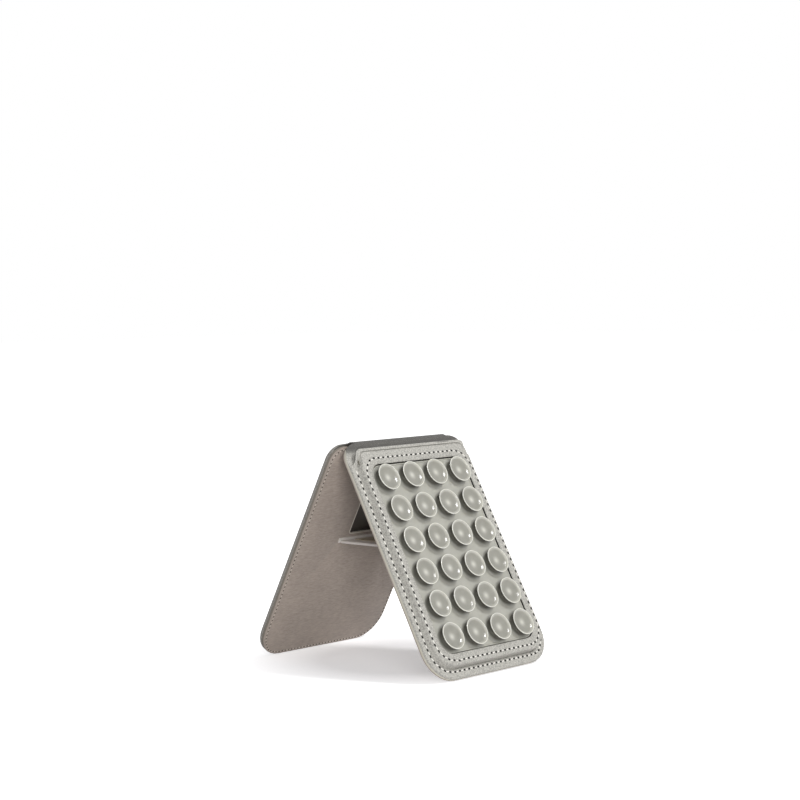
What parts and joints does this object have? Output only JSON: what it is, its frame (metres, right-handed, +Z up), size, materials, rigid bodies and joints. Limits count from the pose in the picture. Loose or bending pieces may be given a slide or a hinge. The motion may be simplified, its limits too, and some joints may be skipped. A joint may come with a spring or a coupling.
{
  "type": "magnetic card holder phone stand",
  "caption": "Folding phone stand: a leather card wallet with a suction pad, hinged to a magnetic rear panel and held open by a strut.",
  "frame": {"origin": "on the table at the middle of the open stand's footprint, half way between the two feet and half way along the hinge", "axes": "+X along the hinge, +Y from the wallet panel towards the magnetic rear panel, +Z up"},
  "size_m": [0.066, 0.0952, 0.0841],
  "materials": {
    "rear_leather": "smooth fine-grain leather",
    "edge_paint": "satin edge coating",
    "board": "stiff fibre board",
    "magnet": "nickel plated",
    "steel": "plain sheet steel",
    "lining": "brushed microfibre",
    "recess": "matte",
    "strut_leather": "smooth leather",
    "spine_leather": "fine-grain leather",
    "wallet_leather": "pebbled leather",
    "carrier": "matte sheet",
    "foam": "soft foam",
    "silicone": "translucent silicone",
    "strap_leather": "smooth leather"
  },
  "bodies": {
    "rear_panel": {"rear_face_skin": "rear_leather", "rear_edge": "edge_paint", "magnet_board_plate": "board", "ring_magnets_set": "magnet", "ring_yoke": "steel", "alignment_magnet": "magnet", "rear_lining": "lining", "window_recess": "recess", "strut_anchor": "strut_leather", "hinge_cover": "spine_leather"},
    "wallet_panel": {"hinge_liner": "spine_leather", "wallet_lining": "lining", "wallet_edge": "edge_paint", "wallet_board_plate": "board", "keeper_plate": "steel", "wallet_back_skin": "wallet_leather", "pocket_spacer": "board", "pad_carrier": "carrier", "front_padding": "foam", "pocket_front": "wallet_leather", "suction_pad": "silicone"},
    "strut": {"strut_core": "steel", "strut_lower_cover": "strut_leather", "strut_upper_cover": "strut_leather", "strut_magnets": "magnet", "strut_strap": "strap_leather"}
  },
  "joints": [
    {"name": "main_fold", "type": "hinge", "parent": "rear_panel", "child": "wallet_panel", "pos_m": [0, -0.00029, 0.081], "axis": [1, 0, 0], "range_deg": [0, 56.6]},
    {"name": "strut_fold", "type": "hinge", "parent": "rear_panel", "child": "strut", "pos_m": [0, 0.01948, 0.04428], "axis": [1, 0, 0], "range_deg": [0, 118.3]}
  ],
  "couplings": [
    {"joint": "strut_fold", "follows": "main_fold", "ratio": 2.0901}
  ]
}
